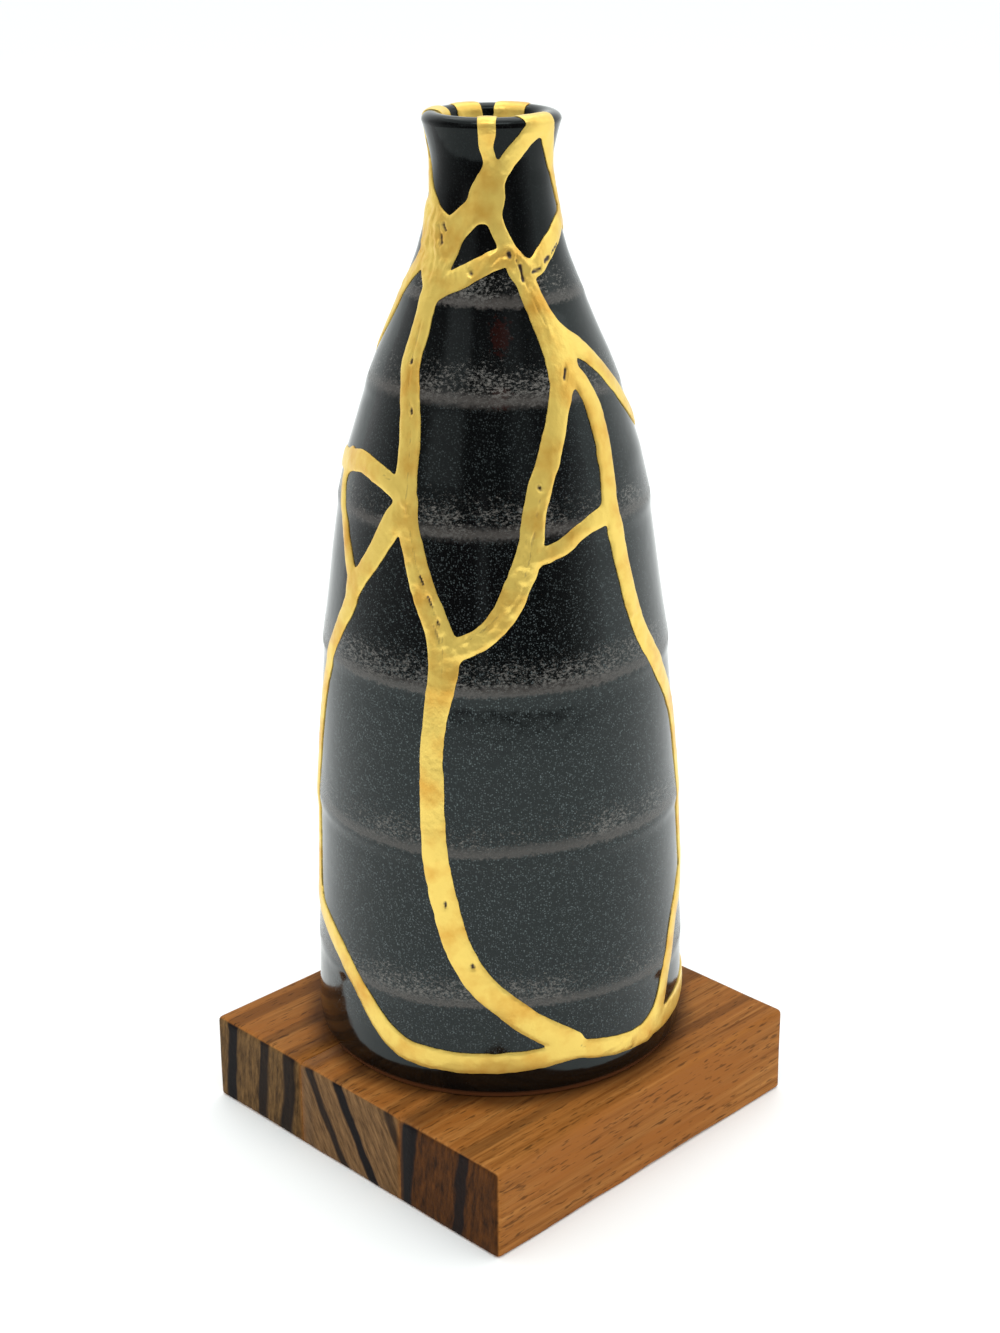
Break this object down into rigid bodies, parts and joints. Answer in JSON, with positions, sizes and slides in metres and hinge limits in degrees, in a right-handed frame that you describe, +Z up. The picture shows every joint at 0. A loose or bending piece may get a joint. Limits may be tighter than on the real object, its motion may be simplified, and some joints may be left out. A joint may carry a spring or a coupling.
{
  "type": "kintsugi vase",
  "caption": "Slender black stoneware bottle vase, broken and mended with raised gold lacquer seams, standing on a small square wooden base.",
  "frame": {"origin": "centre of the wooden base's underside", "axes": "+Z up along the vase, X along the grain of the base; the side with the most seams faces the corner between -X and -Y"},
  "size_m": [0.092, 0.0903, 0.2218],
  "materials": {
    "glazed_stoneware": "glossy black glaze with fine grey speckles",
    "gold_lacquer": "satin gold, lacquer dusted with gold powder, slightly uneven",
    "wood": "oiled, satin, reddish brown with dark streaks"
  },
  "bodies": {
    "root": {"base_strip_front": "wood", "base_strip_middle": "wood", "base_strip_left": "wood", "shard_neck_left": "glazed_stoneware", "shard_neck_chip": "glazed_stoneware", "shard_neck_right": "glazed_stoneware", "shard_neck_triangle": "glazed_stoneware", "shard_nape_right": "glazed_stoneware", "shard_nape": "glazed_stoneware", "shard_nape_left": "glazed_stoneware", "shard_shoulder_left": "glazed_stoneware", "shard_shoulder_front": "glazed_stoneware", "shard_shoulder_right": "glazed_stoneware", "shard_shoulder_back": "glazed_stoneware", "shard_right_triangle": "glazed_stoneware", "shard_left_triangle": "glazed_stoneware", "shard_right_side": "glazed_stoneware", "shard_back_left": "glazed_stoneware", "shard_left_front": "glazed_stoneware", "shard_right_front": "glazed_stoneware", "shard_back_right": "glazed_stoneware", "shard_base": "glazed_stoneware", "gold_seams": "gold_lacquer"}
  },
  "joints": []
}
